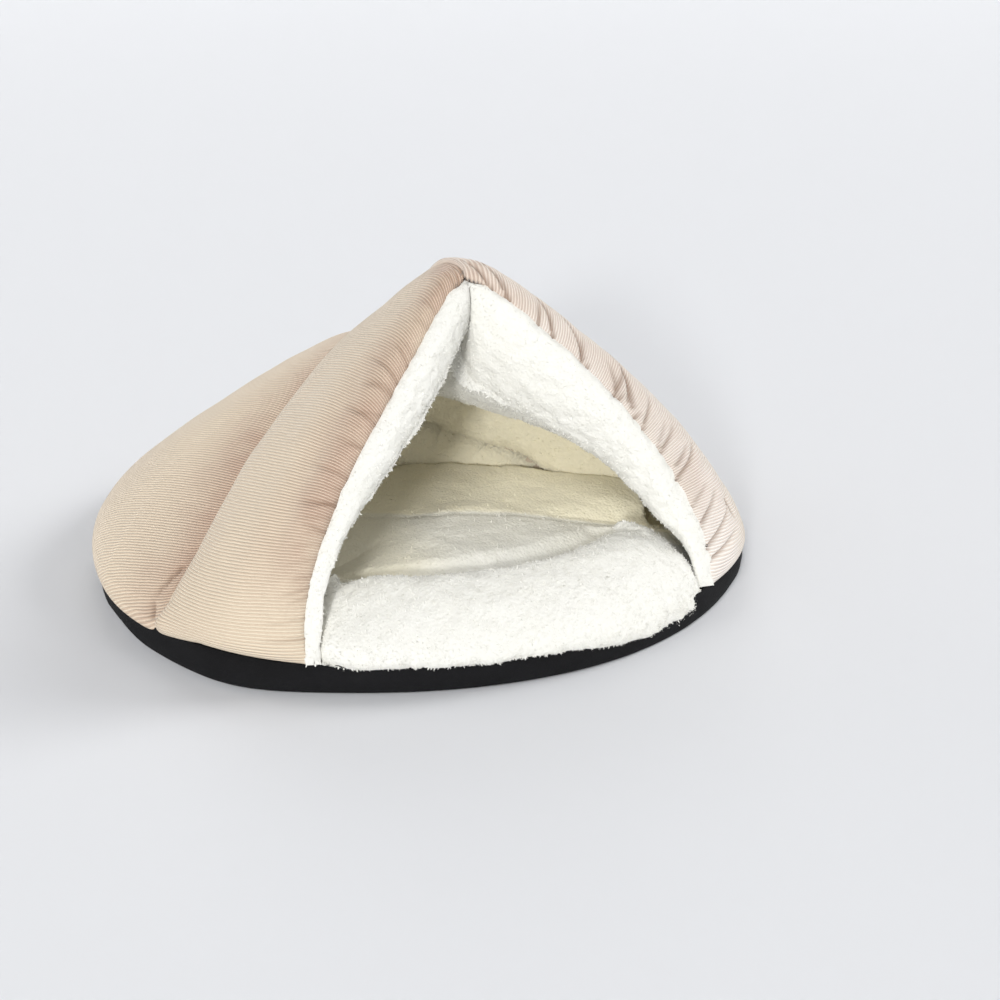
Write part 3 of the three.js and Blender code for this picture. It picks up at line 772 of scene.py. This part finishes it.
def floor_cushion(name, lining):
    steps = np.linspace(-1, 1, PAD_STEPS + 1)
    u, v = np.meshgrid(steps, steps, indexing="ij")
    x = u * np.sqrt(1 - v * v / 2)
    y = v * np.sqrt(1 - u * u / 2)
    degrees = np.degrees(np.arctan2(x, -y))
    share = np.clip(np.hypot(x, y), 0, 1)
    top, fullness = pad_top(degrees, share)
    place = top[..., 1] + PAD_FOLD["slant"] * top[..., 0]
    behind = smooth(place, *PAD_FOLD["at"])
    open_room = smooth(top[..., 1], *COVER["room"]) * (1 - covered(top, lining))
    top[..., 2] = np.maximum(top[..., 2], lerp(0, COVER["height"], open_room))
    fullness = np.maximum(fullness, open_room)
    crease = np.exp(-((place - PAD_FOLD["at"][0]) / PAD_FOLD["width"]) ** 2)
    top[..., 2] -= PAD_FOLD["deep"] * crease * np.clip(fullness * PAD_FOLD["grows"], 0, 1)
    relief = PAD_RELIEF["share"] * fleece_relief(top, 51) * np.clip(
        fullness * PAD_RELIEF["grows"], PAD_RELIEF["least"], 1)
    broad = PAD_RELIEF["broad"] * value_noise(top, PAD_RELIEF["broad_size"], 53) * fullness
    top[..., 2] += relief + broad
    size = PAD_STEPS + 1
    loop = edge_loop(size, size)
    ring_degrees = degrees.reshape(-1)[loop]
    rings = []
    for inset, height in (PAD["side"], (PAD["bottom_inset"], PAD["bottom"])):
        rings.append(oval_point(ring_degrees, pad_inset(ring_degrees) + inset, height))
    count = len(loop)
    points = np.concatenate([top.reshape(-1, 3), *rings, [[0.0, 0.0, PAD["bottom"]]]])
    faces = quads(size, size).tolist()
    chain = [loop, size * size + np.arange(count), size * size + count + np.arange(count)]
    centre = len(points) - 1
    # Painted warm shade on the cushion: inside the cave, more on the left where the left half shades it, and
    # all of the back part behind the fold.
    inside = smooth(top[..., 1], *CAVE_SHADE_TONE["cushion_at"])
    left = smooth(-top[..., 0], *CAVE_SHADE_TONE["cushion_side"])
    cave_shade = inside * (CAVE_SHADE_TONE["cushion"] + CAVE_SHADE_TONE["cushion_left"] * left)
    cave_shade = np.maximum(behind, cave_shade)
    deep = np.concatenate([cave_shade.ravel(), np.zeros(len(points) - size * size)])
    for i in range(count):
        after = (i + 1) % count
        for upper, lower in zip(chain[:-1], chain[1:]):
            faces.append([int(upper[after]), int(upper[i]), int(lower[i]), int(lower[after])])
        faces.append([int(chain[-1][after]), int(chain[-1][i]), centre])
    return make_object(name, points, turned_out(points, faces), marks={"deep": deep}), top, cave_shade


def turned_out(points, faces):
    """The faces, turned over if they enclose a negative volume."""
    points = np.asarray(points)
    total = 0.0
    for corner in (1, 2):
        picked = [f for f in faces if len(f) > corner + 1]
        a = points[[f[0] for f in picked]]
        b = points[[f[corner] for f in picked]]
        c = points[[f[corner + 1] for f in picked]]
        total += np.einsum("ij,ij->i", a, np.cross(b, c)).sum()
    return faces if total > 0 else [f[::-1] for f in faces]


# Bolster.
BOLSTER_STEPS = {"round": 96, "along": 300}
BOLSTER_RELIEF = {"broad": 2.0, "broad_size": 38.0, "above": (2.0, 14.0)}
# How far the fleece of the bolster hangs over the black cloth, in degrees round the base and millimetres.
DROOP = ((-41, 0.0), (-22, 0.0), (-8, 1.2), (2, 2.6), (10, 6.0), (18, 10.5), (24, 12.0), (36, 12.0),
         (41, 8.0))
# Which part of the bolster hangs: insets from the oval, and heights.
HANGING = {"inset": (-22, 0), "rises": (12, 20), "falls": (20, 46), "out": 1.5}


def closed_curve(rows, count):
    """A smooth closed curve through the rows of a table."""
    rows = np.array(rows, float)
    place = np.linspace(0, len(rows), count, endpoint=False)
    low = np.floor(place).astype(int)
    part = (place - low)[:, None]
    return curve_value(*(rows[(low + k) % len(rows)] for k in (-1, 0, 1, 2)), part)


def mouth_bolster(name):
    section = closed_curve(BOLSTER_SECTION, BOLSTER_STEPS["round"])
    degrees = np.linspace(-BOLSTER["end"], BOLSTER["end"], BOLSTER_STEPS["along"])
    angle, inset = np.meshgrid(degrees, section[:, 0], indexing="ij")
    height = np.broadcast_to(section[:, 1], angle.shape)
    reach = np.abs(angle)
    share = lerp(1, BOLSTER["taper"], smooth(reach, BOLSTER["taper_from"], BOLSTER["taper_to"]))
    tuck = BOLSTER["tuck"] * smooth(reach, BOLSTER["tuck_from"], BOLSTER["tuck_to"])
    end = smooth(reach, BOLSTER["tuck_to"] - BOLSTER["closing"], BOLSTER["end"])
    closing = np.sqrt(np.clip(1 - end ** 2, BOLSTER["thinnest"], 1))
    inset = BOLSTER["middle_inset"] + (inset - BOLSTER["middle_inset"]) * np.where(
        height > SEAM_HEIGHT, share, 1) * closing
    inset = np.minimum(inset + tuck, BOLSTER["most_inset"])
    above = height > BOLSTER["middle_height"]
    height = np.where(above, lerp(BOLSTER["middle_height"], height, share * closing), height)
    droop = table_value(angle, DROOP)
    hanging = smooth(-inset, *HANGING["inset"]) * smooth(height, *HANGING["rises"])
    hanging *= 1 - smooth(height, *HANGING["falls"])
    surface = oval_point(angle, inset - HANGING["out"] * hanging * (droop > 0), height - droop * hanging)
    relief = fleece_relief(surface, 71) + BOLSTER_RELIEF["broad"] * value_noise(
        surface, BOLSTER_RELIEF["broad_size"], 73)
    relief *= smooth(surface[..., 2], *BOLSTER_RELIEF["above"])
    surface = surface + outward_normals(surface) * relief[..., None]
    rows, columns = surface.shape[:2]
    points = np.concatenate([surface.reshape(-1, 3), surface[0].mean(axis=0)[None],
                             surface[-1].mean(axis=0)[None]])
    faces = []
    for row in range(rows - 1):
        base = row * columns
        for column in range(columns):
            after = (column + 1) % columns
            faces.append([base + column, base + after, base + columns + after, base + columns + column])
    last = (rows - 1) * columns
    for column in range(columns):
        after = (column + 1) % columns
        faces.append([rows * columns, after, column])
        faces.append([rows * columns + 1, last + column, last + after])
    return make_object(name, points, turned_out(points, faces)), surface


# Black base cloth.
SOLE_STEPS = 720
# The base cloth's section: inset from the oval, and height, from the underside up and back down inside.
SOLE_SECTION = ((6, 0), (1.8, 0.2), (-0.9, 1.5), (-2.4, 4.2), (-3, 8), (-2.6, 12), (-1.6, 16), (-0.4, 19.2),
                (1.2, 20), (2.4, 19.8), (3, 18), (3, 8), (8, 3.0))
# Where the base cloth spreads out over the floor, in degrees round the base: middle, width, millimetres.
SOLE_SPREAD = ((-50, 13, 8.5), (-84, 8, -2.5), (12, 20, 1.5), (95, 30, 3.0), (175, 25, 4.0))
SOLE_RELIEF = {"wave": 0.8, "wave_size": 55.0, "wrinkle": 0.45, "wrinkle_size": 15.0, "flatter": 2.5,
               "above": (0.0, 5.0), "spread_below": (7.0, 20.0), "spread_outside": 5.0}


def base_cloth(name):
    degrees = np.linspace(-180, 180, SOLE_STEPS, endpoint=False)
    section = np.array(SOLE_SECTION, float)
    angle, inset = np.meshgrid(degrees, section[:, 0], indexing="ij")
    height = np.broadcast_to(section[:, 1], angle.shape)
    surface = oval_point(angle, inset, height)
    stretched = surface * np.array([1, 1, SOLE_RELIEF["flatter"]])
    relief = (SOLE_RELIEF["wave"] * value_noise(stretched, SOLE_RELIEF["wave_size"], 91)
              + SOLE_RELIEF["wrinkle"] * value_noise(stretched, SOLE_RELIEF["wrinkle_size"], 93))
    free = smooth(height, *SOLE_RELIEF["above"])
    spread_out = sum(out * np.exp(-((angle - middle) / width) ** 2) for middle, width, out in SOLE_SPREAD)
    spread_out *= (1 - smooth(height, *SOLE_RELIEF["spread_below"])) * (inset < SOLE_RELIEF["spread_outside"])
    surface = oval_point(angle, inset - relief * free - spread_out, height)
    rows, columns = surface.shape[:2]
    points = np.concatenate([surface.reshape(-1, 3), [[0, 0, 0], [0, 0, SOLE["cloth"]]]])
    faces = []
    for row in range(rows):
        base, over = row * columns, (row + 1) % rows * columns
        for column in range(columns - 1):
            faces.append([base + column, base + column + 1, over + column + 1, over + column])
        faces.append([rows * columns, base, over])
        faces.append([rows * columns + 1, over + columns - 1, base + columns - 1])
    return make_object(name, points, turned_out(points, faces))


# Fleece tufts.
TUFT = {"length": 2.9, "width": 0.9, "lift": (8.0, 48.0), "curl": 0.5, "lengths": (0.55, 1.25),
        "widths": (0.7, 1.3), "sunk": 0.4, "root_part": 0.55, "tip_part": 0.5, "narrower": 0.8}


def tufts(name, grid, normals, count, keep, seed, deep=None):
    """Short curled wisps that stand on a grid of points where keep is 1, joined into one mesh."""
    rng = np.random.default_rng(seed)
    rows, columns = grid.shape[:2]
    a = grid[:-1, :-1]
    area = np.linalg.norm(np.cross(grid[1:, :-1] - a, grid[:-1, 1:] - a), axis=-1) * keep[:-1, :-1]
    chance = (area / area.sum()).ravel()
    picked = rng.choice(len(chance), count, p=chance)
    row, column = picked // (columns - 1), picked % (columns - 1)
    x, y = rng.random((2, count, 1))
    root = (grid[row, column] * (1 - x) * (1 - y) + grid[row + 1, column] * x * (1 - y)
            + grid[row, column + 1] * (1 - x) * y + grid[row + 1, column + 1] * x * y)
    normal = normals[row, column]
    lean = rng.normal(size=(count, 3))
    lean -= normal * np.einsum("ij,ij->i", lean, normal)[:, None]
    lean /= np.linalg.norm(lean, axis=1, keepdims=True)
    angle = np.radians(rng.uniform(*TUFT["lift"], (count, 1)))
    heading = lean * np.cos(angle) + normal * np.sin(angle)
    side = np.cross(normal, lean)
    length = TUFT["length"] * rng.uniform(*TUFT["lengths"], (count, 1))
    width = TUFT["width"] * rng.uniform(*TUFT["widths"], (count, 1)) / 2
    root = root - normal * TUFT["sunk"]
    middle = root + heading * length * TUFT["root_part"]
    bend = heading * (1 - TUFT["curl"]) + side * rng.uniform(-1, 1, (count, 1)) * TUFT["curl"]
    tip = middle + bend * length * TUFT["tip_part"]
    near, far = side * width, side * width * TUFT["narrower"]
    points = np.stack([root + near, root - near, middle - far, middle + far, tip], axis=1).reshape(-1, 3)
    base = np.arange(count)[:, None] * 5
    faces = [*(base + [0, 1, 2, 3]).tolist(), *(base + [3, 2, 4]).tolist()]
    # deep carries the painted warm shade of the cave onto the tufts.
    marks = None if deep is None else {"deep": np.repeat(deep[row, column], 5)}
    return make_object(name, points, faces, marks=marks)


# Materials.
def new_material(name, base, roughness, sheen, sheen_roughness):
    material = bpy.data.materials.new(name)
    material.use_nodes = True
    nodes = material.node_tree.nodes
    shader = nodes["Principled BSDF"]
    shader.inputs["Base Color"].default_value = (*base, 1)
    shader.inputs["Roughness"].default_value = roughness
    shader.inputs["Sheen Weight"].default_value = sheen
    shader.inputs["Sheen Roughness"].default_value = sheen_roughness
    shader.inputs["Specular IOR Level"].default_value = 0.2
    return material, material.node_tree, shader


def node(tree, kind, values=None, **settings):
    made = tree.nodes.new(kind)
    for key, value in settings.items():
        setattr(made, key, value)
    for key, value in (values or {}).items():
        if hasattr(value, "node"):
            tree.links.new(value, made.inputs[key])
        else:
            made.inputs[key].default_value = value
    return made


def maths(tree, operation, a, b=0.0):
    return node(tree, "ShaderNodeMath", {0: a, 1: b}, operation=operation).outputs[0]


def mixed(tree, share, a, b):
    made = node(tree, "ShaderNodeMix", data_type="RGBA")
    for key, kind, value in (("Factor", "VALUE", share), ("A", "RGBA", a), ("B", "RGBA", b)):
        socket = next(s for s in made.inputs if s.name == key and s.type == kind)
        if hasattr(value, "node"):
            tree.links.new(value, socket)
        else:
            socket.default_value = value if key == "Factor" else (*value, 1)
    return next(s for s in made.outputs if s.type == "RGBA")


def noise(tree, vector, scale, detail=2.0, roughness=0.5):
    return node(tree, "ShaderNodeTexNoise", {"Vector": vector, "Scale": scale, "Detail": detail,
                                              "Roughness": roughness}).outputs["Fac"]


def bump(tree, shader, height, distance, strength):
    made = node(tree, "ShaderNodeBump", {"Height": height, "Distance": distance, "Strength": strength})
    tree.links.new(made.outputs["Normal"], shader.inputs["Normal"])


# The colours for opened ribs are partly the cloth's own darker ground and partly painted shade.
# The darkest colour, for creases, is painted shade.
# The palest pair of colours is a painted highlight along the right half's rim.
RIB_COLOURS = {"rib": (0.81, 0.705, 0.545), "furrow": (0.64, 0.50, 0.36), "tint": (0.75, 0.57, 0.435),
               "opened_rib_and_shade": (0.71, 0.55, 0.425), "opened_furrow_and_shade": (0.38, 0.235, 0.165),
               "crease": (0.26, 0.155, 0.10), "highlight_rib": (0.965, 0.925, 0.865),
               "highlight_furrow": (0.74, 0.63, 0.54)}
# How much the painted crease shade darkens the cloth.
CREASE_SHADE_SHARE = 0.75
# Scales are per metre; wander is how far, in radians, a rib leaves its line; the bump is in metres.
RIB_TEXTURE = {"wander_scale": 60.0, "wander": 1.6, "grain_scale": (900.0, 2500.0, 1.0), "grain_bump": 0.35,
               "grain_colour": 0.5, "tint_scale": 16.0, "tint": 0.35, "ridge": 0.8, "bump": 0.0008,
               "strength": 0.8}


def ribbed_material():
    material, tree, shader = new_material("ribbed_cloth", RIB_COLOURS["rib"], 0.85, 0.25, 0.4)
    place = node(tree, "ShaderNodeTexCoord").outputs["Object"]
    uv = node(tree, "ShaderNodeUVMap", uv_map="cloth").outputs["UV"]
    split = node(tree, "ShaderNodeSeparateXYZ", {0: uv})
    wander = maths(tree, "SUBTRACT", noise(tree, place, RIB_TEXTURE["wander_scale"], 1.0), 0.5)
    wander = maths(tree, "MULTIPLY", wander, RIB_TEXTURE["wander"])
    turns = maths(tree, "MULTIPLY", split.outputs["Y"], 2 * math.pi / (RIB_PITCH * MM))
    wave = maths(tree, "SINE", maths(tree, "ADD", turns, wander))
    rib = maths(tree, "MULTIPLY", maths(tree, "ADD", wave, 1.0), 0.5)
    fine = node(tree, "ShaderNodeMapping", {"Vector": uv, "Scale": RIB_TEXTURE["grain_scale"]}).outputs[0]
    grain = noise(tree, fine, 1.0, 2.0, 0.6)
    height = maths(tree, "ADD", rib, maths(tree, "MULTIPLY", grain, RIB_TEXTURE["grain_bump"]))
    tint = maths(tree, "MULTIPLY", noise(tree, place, RIB_TEXTURE["tint_scale"], 3.0), RIB_TEXTURE["tint"])
    # Opened ribs, with painted shade in the valley and at the rim.
    ribs_open_and_shade = node(tree, "ShaderNodeAttribute", attribute_name="ribs_open_and_shade").outputs["Fac"]
    # Painted highlight along the right half's rim.
    painted_highlight = node(tree, "ShaderNodeAttribute", attribute_name="painted_highlight").outputs["Fac"]
    furrow = mixed(tree, painted_highlight, mixed(tree, tint, RIB_COLOURS["furrow"], RIB_COLOURS["tint"]),
                   RIB_COLOURS["highlight_furrow"])
    furrow = mixed(tree, ribs_open_and_shade, furrow, RIB_COLOURS["opened_furrow_and_shade"])
    ridge = mixed(tree, ribs_open_and_shade, mixed(tree, painted_highlight, RIB_COLOURS["rib"], RIB_COLOURS["highlight_rib"]),
                  RIB_COLOURS["opened_rib_and_shade"])
    share = maths(tree, "ADD", rib, maths(tree, "MULTIPLY", grain, RIB_TEXTURE["grain_colour"]))
    share = maths(tree, "MULTIPLY", share, RIB_TEXTURE["ridge"])
    # Painted shade in the creases of the folds.
    crease_shade = node(tree, "ShaderNodeAttribute", attribute_name="crease_shade").outputs["Fac"]
    colour = mixed(tree, maths(tree, "MULTIPLY", crease_shade, CREASE_SHADE_SHARE), mixed(tree, share, furrow, ridge),
                   RIB_COLOURS["crease"])
    tree.links.new(colour, shader.inputs["Base Color"])
    bump(tree, shader, height, RIB_TEXTURE["bump"], RIB_TEXTURE["strength"])
    return material


# inner and inner_hollow are the painted warm shade of the fleece inside the cave, which the deep mark mixes
# in.
FLEECE_COLOURS = {"pile": (0.86, 0.85, 0.80), "hollow": (0.79, 0.775, 0.70),
                  "inner": (0.92, 0.865, 0.68), "inner_hollow": (0.84, 0.775, 0.57)}
FLEECE_TEXTURE = {"curl_scale": 420.0, "curl": -0.6, "lump_scale": 190.0, "tone_scale": 35.0, "tone": 0.5,
                  "bump": 0.0011, "strength": 0.7}


def fleece_material():
    material, tree, shader = new_material("fleece", FLEECE_COLOURS["pile"], 0.95, 0.35, 0.5)
    place = node(tree, "ShaderNodeTexCoord").outputs["Object"]
    curls = node(tree, "ShaderNodeTexVoronoi", {"Vector": place, "Scale": FLEECE_TEXTURE["curl_scale"]},
                 feature="F1").outputs["Distance"]
    lumps = noise(tree, place, FLEECE_TEXTURE["lump_scale"], 4.0, 0.65)
    height = maths(tree, "ADD", maths(tree, "MULTIPLY", curls, FLEECE_TEXTURE["curl"]), lumps)
    tone = noise(tree, place, FLEECE_TEXTURE["tone_scale"], 3.0)
    share = maths(tree, "MULTIPLY", tone, FLEECE_TEXTURE["tone"])
    # The deep mark holds the painted warm shade inside the cave.
    deep = node(tree, "ShaderNodeAttribute", attribute_name="deep").outputs["Fac"]
    colour = mixed(tree, share, mixed(tree, deep, FLEECE_COLOURS["pile"], FLEECE_COLOURS["inner"]),
                   mixed(tree, deep, FLEECE_COLOURS["hollow"], FLEECE_COLOURS["inner_hollow"]))
    tree.links.new(colour, shader.inputs["Base Color"])
    bump(tree, shader, height, FLEECE_TEXTURE["bump"], FLEECE_TEXTURE["strength"])
    return material


BLACK = {"cloth": (0.004, 0.004, 0.0045), "worn": (0.010, 0.010, 0.011), "weave_scale": 900.0,
         "patch_scale": 28.0, "bump": 0.0006, "strength": 0.6}


def black_material():
    material, tree, shader = new_material("base_cloth", BLACK["cloth"], 0.9, 0.0, 0.5)
    place = node(tree, "ShaderNodeTexCoord").outputs["Object"]
    weave = noise(tree, place, BLACK["weave_scale"], 1.0)
    patches = noise(tree, place, BLACK["patch_scale"], 3.0)
    tree.links.new(mixed(tree, patches, BLACK["cloth"], BLACK["worn"]), shader.inputs["Base Color"])
    bump(tree, shader, weave, BLACK["bump"], BLACK["strength"])
    return material


STAGE_COLOUR = (0.755, 0.762, 0.778)


def stage_material():
    material, tree, shader = new_material("backdrop", STAGE_COLOUR, 0.9, 0.0, 0.5)
    place = node(tree, "ShaderNodeTexCoord").outputs["Object"]
    bump(tree, shader, noise(tree, place, 40.0, 2.0), 0.0002, 0.2)
    return material


# Pieces.
ribbed, fleece, black, paper = ribbed_material(), fleece_material(), black_material(), stage_material()
TUFT_COUNTS = {"lining": 20000, "cushion": 9000, "bolster": 20000}
# Tufts stand closer along the edges. The heights are in millimetres.
EDGE_TUFTS = {"rest": 0.35, "width": 5.0, "lowest": 12.0, "above": (6.0, 12.0), "hem": (16.0, 30.0)}


def finish_piece(piece, material, slot, *nodes):
    piece.data.materials.append(material)
    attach(piece, "root")
    if nodes:
        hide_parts(*nodes)


def dress():
    sole = base_cloth("base_cloth")
    finish_piece(sole, black, "base_cloth", "sole")
    linings = []
    for side, word in ((LEFT, "left"), (RIGHT, "right")):
        outer = hood_half(f"hood_{word}", side)
        finish_piece(outer, ribbed, "ribbed_cloth", f"outer_{word}")
        lining, surface, deep = lining_half(f"fleece_{word}", side)
        finish_piece(lining, fleece, "fleece", f"lining_{word}")
        linings.append(surface)
        past_rim = (np.arange(surface.shape[1]) - LINING_GRID["flange"]) / EDGE_TUFTS["width"]
        edge = np.broadcast_to(np.exp(-past_rim ** 2), surface.shape[:2])
        pile = tufts(f"pile_{word}", surface, grid_normals(surface), TUFT_COUNTS["lining"],
                     EDGE_TUFTS["rest"] + edge, 101 + side, deep)
        finish_piece(pile, fleece, "fleece")
    cushion, surface, cave_shade = floor_cushion("cushion", linings)
    finish_piece(cushion, fleece, "fleece", "floor_pad")
    normals = unit_normals(surface)
    normals *= np.sign(normals[..., 2:])
    pile = tufts("pile_cushion", surface, normals, TUFT_COUNTS["cushion"],
                 (surface[..., 2] > EDGE_TUFTS["lowest"]).astype(float), 111, cave_shade)
    finish_piece(pile, fleece, "fleece")
    bolster, surface = mouth_bolster("bolster")
    finish_piece(bolster, fleece, "fleece", "front_lip")
    above, hem = (smooth(surface[..., 2], *EDGE_TUFTS[heights]) for heights in ("above", "hem"))
    pile = tufts("pile_bolster", surface, outward_normals(surface), TUFT_COUNTS["bolster"],
                 above * (EDGE_TUFTS["rest"] + 1 - hem), 121)
    finish_piece(pile, fleece, "fleece")


# Stage and light.
STAGE = {"flat": 3.4, "bend": 2.6, "height": 5.0, "steps": 16, "round": 96}
LIGHTS = (
    # name, azimuth, elevation, angle across, strength
    ("key", -34.5, 17.5, 7, 1.26),
    ("front", -36, 41, 14, 1.05),
    ("right", 90, 30, 25, 1.58),
    ("back", 160, 36, 30, 0.56),
    ("left_back", -138, 22, 27, 0.2),
)
WORLD = {"colour": (0.97, 0.985, 1.0), "strength": 0.12}


def make_stage():
    """A round floor that curves up all round, so that every side has the same plain backdrop."""
    bend, steps, count = STAGE["bend"], STAGE["steps"], STAGE["round"]
    turns = np.linspace(0, math.pi / 2, steps + 1)
    radii = [*(STAGE["flat"] + bend * np.sin(turns)), STAGE["flat"] + bend]
    heights = [*(bend - bend * np.cos(turns)), STAGE["height"]]
    angles = np.linspace(0, 2 * math.pi, count, endpoint=False)
    rings = [np.stack([radius * np.cos(angles), radius * np.sin(angles), np.full(count, height)], -1)
             for radius, height in zip(radii, heights)]
    points = np.concatenate([*rings, [[0, 0, 0]]])
    faces = [(len(points) - 1, i, (i + 1) % count) for i in range(count)]
    for ring in range(len(rings) - 1):
        low, high = ring * count, (ring + 1) * count
        faces += [(low + i, high + i, high + (i + 1) % count, low + (i + 1) % count) for i in range(count)]
    made = make_object("backdrop", points / MM, faces)
    made.data.materials.append(paper)
    made.visible_shadow = False


def make_lights():
    for name, azimuth, elevation, across, strength in LIGHTS:
        data = bpy.data.lights.new(name, "SUN")
        data.angle = math.radians(across)
        data.energy = strength
        light = bpy.data.objects.new(name, data)
        bpy.context.collection.objects.link(light)
        light.rotation_mode = "QUATERNION"
        light.rotation_quaternion = (-to_viewer(azimuth, elevation)).to_track_quat("-Z", "Y")
    world = bpy.data.worlds.new("studio")
    world.use_nodes = True
    background = world.node_tree.nodes["Background"]
    background.inputs["Color"].default_value = (*WORLD["colour"], 1)
    background.inputs["Strength"].default_value = WORLD["strength"]
    bpy.context.scene.world = world
    bpy.context.scene.view_settings.view_transform = "Standard"


dress()
make_stage()
make_lights()
